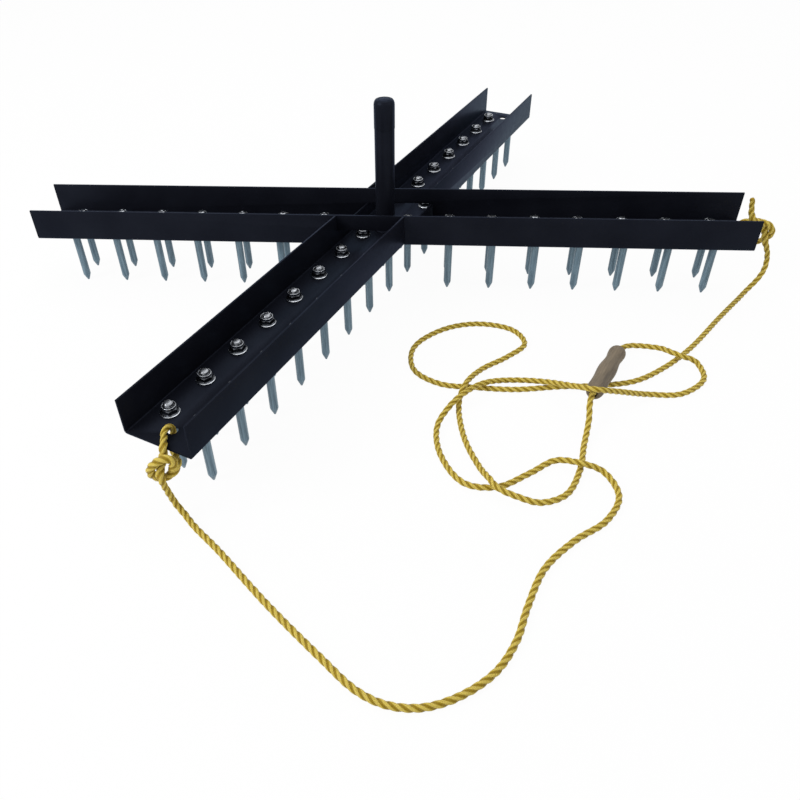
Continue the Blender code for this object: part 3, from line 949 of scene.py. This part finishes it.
def splineThrough(points):
    padded = [2 * points[0] - points[1], *points, 2 * points[-1] - points[-2]]
    line = []
    for a, b, c, d in zip(padded, padded[1:], padded[2:], padded[3:]):
        first, second, third = ((q - p).length ** 0.5 for p, q in ((a, b), (b, c), (c, d)))
        leave = (c - b) + second * ((b - a) / first - (c - a) / (first + second))
        arrive = (c - b) + second * ((d - c) / third - (d - b) / (second + third))
        steps = max(2, math.ceil((c - b).length / rope["routeStep"]))
        for i in range(steps):
            t = i / steps
            line.append((2 * t**3 - 3 * t**2 + 1) * b + (t**3 - 2 * t**2 + t) * leave
                        + (3 * t**2 - 2 * t**3) * c + (t**3 - t**2) * arrive)
    line.append(points[-1])
    return line


def evenLine(points):
    line = np.array([tuple(p) for p in points])
    line[:, 2] = np.maximum(line[:, 2], rope["diameter"] / 2)
    runs = np.concatenate([[0], np.cumsum(np.linalg.norm(np.diff(line, axis=0), axis=1))])
    count = max(2, round(runs[-1] / rope["step"]))
    marks = np.linspace(0, runs[-1], count + 1)
    return np.stack([np.interp(marks, runs, line[:, k]) for k in range(3)], axis=1), marks


def carriedFrames(line):
    # two directions square to the rope, carried along it without twist
    ahead = np.gradient(line, axis=0)
    ahead /= np.linalg.norm(ahead, axis=1)[:, None]
    anyOther = (0.3, 0.2, 0.9)
    side = np.cross(ahead[0], anyOther)
    side /= np.linalg.norm(side)
    sides = [side]
    for direction in ahead[1:]:
        side = sides[-1] - direction * np.dot(sides[-1], direction)
        sides.append(side / np.linalg.norm(side))
    sides = np.array(sides)
    return ahead, sides, np.cross(ahead, sides)


def strandSection():
    # angle, radius, depth and place within its strand, for each point of the laid outline
    centre, strand, count = rope["strandCentre"], rope["strand"], rope["round"]
    angles = np.arange(count) * 2 * math.pi / count
    half = math.pi / rope["strands"]
    lobe = (angles + half) % (2 * half) - half
    radius = centre * np.cos(lobe) + np.sqrt(strand**2 - (centre * np.sin(lobe)) ** 2)
    crest = centre + strand
    depth = (radius - radius.min()) / (crest - radius.min())
    return angles, radius, depth, lobe / (2 * half) + 0.5


def laidRope(line, marks):
    angles, radius, depth, share = strandSection()
    ahead, sides, ups = carriedFrames(line)
    twist = 2 * math.pi * marks / rope["lay"]
    fuzz = np.random.default_rng(rope["fuzzSeed"]).normal(0, rope["fuzz"], (len(line), len(angles)))
    turned = angles[None, :] + twist[:, None]
    r = radius[None, :] + fuzz
    places = (line[:, None, :] + (r * np.cos(turned))[:, :, None] * sides[:, None, :]
              + (r * np.sin(turned))[:, :, None] * ups[:, None, :])
    places[:, :, 2] = np.maximum(places[:, :, 2], rope["lowest"])
    return places, depth, share


def pressedShare(line):
    # one where another turn of the knot lies close by
    apart = np.linalg.norm(line[:, None] - line[None], axis=2)
    along = np.abs(np.arange(len(line))[:, None] - np.arange(len(line))[None]) * rope["step"]
    pressed = ((apart < rope["pressedWithin"]) & (along > rope["pressedAfter"])).any(axis=1).astype(float)
    spread = rope["pressedSpread"]
    return np.convolve(pressed, np.ones(spread) / spread, "same")


def ropePiece(name, places, marks, depth, share, first, last, swell=None):
    # swell is given for a knot, whose first rings are the rope's cut end
    bm = bmesh.new()
    count, strands = places.shape[1], rope["strands"]
    # the strand depth drives the rope's painted groove shade and crest highlight
    depthLayer = bm.verts.layers.float.new("strandDepth")
    uv = bm.loops.layers.uv.new("lay")
    rings = []
    for i in range(first, last + 1):
        centre = places[i].mean(axis=0)
        size, depthShare = 1.0, 1
        if swell is not None and i < len(rope["cutEnd"]):
            size, depthShare = rope["cutEnd"][i]
        elif swell is not None:
            size += rope["pressedSwell"] * swell[i]
        ring = []
        for k in range(count):
            v = bm.verts.new(centre + (places[i, k] - centre) * size)
            v[depthLayer] = float(depth[k]) * depthShare
            ring.append(v)
        rings.append(ring)
    for i, (lower, upper) in enumerate(zip(rings, rings[1:])):
        low, high = marks[first + i] * rope["yarnScale"], marks[first + i + 1] * rope["yarnScale"]
        for k in range(count):
            after = (k + 1) % count
            face = bm.faces.new((lower[k], lower[after], upper[after], upper[k]))
            strand = k * strands // count
            a = share[k]
            b = share[after] if share[after] > share[k] else share[k] + strands / count
            for loop, place in zip(face.loops, ((low, a), (low, b), (high, b), (high, a))):
                loop[uv].uv = (place[0], place[1] + strand)
    bm.faces.new(list(reversed(rings[0])))
    bm.faces.new(rings[-1])
    obj = newPiece(name, bm, yellow)
    obj.data.shade_smooth()
    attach(obj, "frame")
    return obj


def tiedRope(name, knotPoints, runPoints, node, knotName):
    dense = splineThrough(knotPoints + runPoints)
    line, marks = evenLine(dense)
    places, depth, share = laidRope(line, marks)
    leave = np.array(runPoints[0])
    split = int(np.argmin(np.linalg.norm(line - leave, axis=1)))
    fade = np.clip((split - np.arange(split + 1)) / rope["swellFade"], 0, 1)
    swell = pressedShare(line[:split + 1]) * fade
    knot = ropePiece(knotName, places, marks, depth, share, 0, split, swell)
    run = ropePiece(name, places, marks, depth, share, split, len(line) - 1)
    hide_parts(node)
    print(f"stage: {name} laid, {marks[-1] - marks[split]:.3f} m free, {marks[split]:.3f} m in its knot")


def layRope():
    length = handle["length"]
    middle = length / 2
    frontKnotPoints = [pastEnd(channel["crossing"], -1, p) for p in frontKnot]
    frontPoints = [Vector(p) * mm for p in frontRun]
    frontPoints += [inHandle(s) for s in (-rope["lead"], 0, middle / 2, middle - rope["endsGap"] / 2)]
    tiedRope("frontRope", frontKnotPoints, frontPoints, "pull_rope_front", "frontKnot")
    rightKnotPoints = [pastEnd(0, 1, p) for p in rightKnot]
    rightPoints = [inHandle(s) for s in (middle + rope["endsGap"] / 2, middle * 1.5, length,
                                         length + rope["lead"])]
    rightPoints += [Vector(p) * mm for p in rightRun]
    tiedRope("rightRope", rightKnotPoints, list(reversed(rightPoints)), "pull_rope_right", "rightKnot")


layRope()


# Studio: pale floor, soft boxes and a white surround

studio = {
    "floorSize": 60,
    "floorDrop": 0.0002,
    "floorColor": (0.94, 0.94, 0.94, 1),
    "floorRoughness": 0.9,
    "floorWhite": 0.96,
    "surround": 0.42,
    "lamps": [  # name, place, target, size and power
        ("topBox", (0.1, 0.5, 2.6), (0, 0, 0), 2.2, 22),
        ("leftBox", (-2.2, -1.4, 1.7), (0, 0, 0), 1.4, 44),
        ("rightBox", (2.3, -0.9, 1.5), (0, 0, 0), 1.2, 7),
        ("backBox", (-0.62, 2.05, 1.72), (-0.12, -0.28, 0.1), 1.2, 4),
    ],
}


def seenDirectly(tree):
    # one where the camera, a reflection or a clear piece looks at the white background
    rays = addNode(tree, "ShaderNodeLightPath")
    total = rays.outputs["Is Camera Ray"]
    for kind in ("Is Glossy Ray", "Is Transmission Ray"):
        seen = addNode(tree, "ShaderNodeMath", operation="MAXIMUM")
        tree.links.new(total, seen.inputs[0])
        tree.links.new(rays.outputs[kind], seen.inputs[1])
        total = seen.outputs[0]
    return total


def studioFloor():
    bm = bmesh.new()
    half, drop = studio["floorSize"] / 2, studio["floorDrop"]
    corners = ((-half, -half), (half, -half), (half, half), (-half, half))
    bm.faces.new([bm.verts.new((x, y, -drop)) for x, y in corners])
    material, tree, shader = newMaterial("studioFloor")
    shader.inputs["Base Color"].default_value = studio["floorColor"]
    shader.inputs["Roughness"].default_value = studio["floorRoughness"]
    glow = addNode(tree, "ShaderNodeEmission", {"Color": (1, 1, 1, 1), "Strength": 1.0})
    share = addNode(tree, "ShaderNodeMath", {1: studio["floorWhite"]}, operation="MULTIPLY")
    tree.links.new(seenDirectly(tree), share.inputs[0])
    blend = addNode(tree, "ShaderNodeMixShader")
    tree.links.new(share.outputs[0], blend.inputs["Fac"])
    tree.links.new(shader.outputs[0], blend.inputs[1])
    tree.links.new(glow.outputs[0], blend.inputs[2])
    tree.links.new(blend.outputs[0], tree.nodes["Material Output"].inputs["Surface"])
    floor = newPiece("studioFloor", bm, material)


def studioSurround():
    world = bpy.data.worlds.new("surround")
    bpy.context.scene.world = world
    world.use_nodes = True
    tree = world.node_tree
    back = tree.nodes["Background"]
    strength = addNode(tree, "ShaderNodeMapRange", {"To Min": studio["surround"], "To Max": 1.0})
    tree.links.new(seenDirectly(tree), strength.inputs["Value"])
    tree.links.new(strength.outputs["Result"], back.inputs["Strength"])
    back.inputs["Color"].default_value = (1, 1, 1, 1)


def studioLamps():
    for name, place, target, size, power in studio["lamps"]:
        data = bpy.data.lights.new(name, "AREA")
        data.shape = "SQUARE"
        data.size = size
        data.energy = power
        lamp = bpy.data.objects.new(name, data)
        bpy.context.scene.collection.objects.link(lamp)
        lamp.location = place
        lamp.rotation_mode = "QUATERNION"
        lamp.rotation_quaternion = (Vector(target) - Vector(place)).to_track_quat("-Z", "Y")


studioFloor()
studioSurround()
studioLamps()
bpy.context.scene.view_settings.view_transform = "Standard"
print("stage: studio lit")
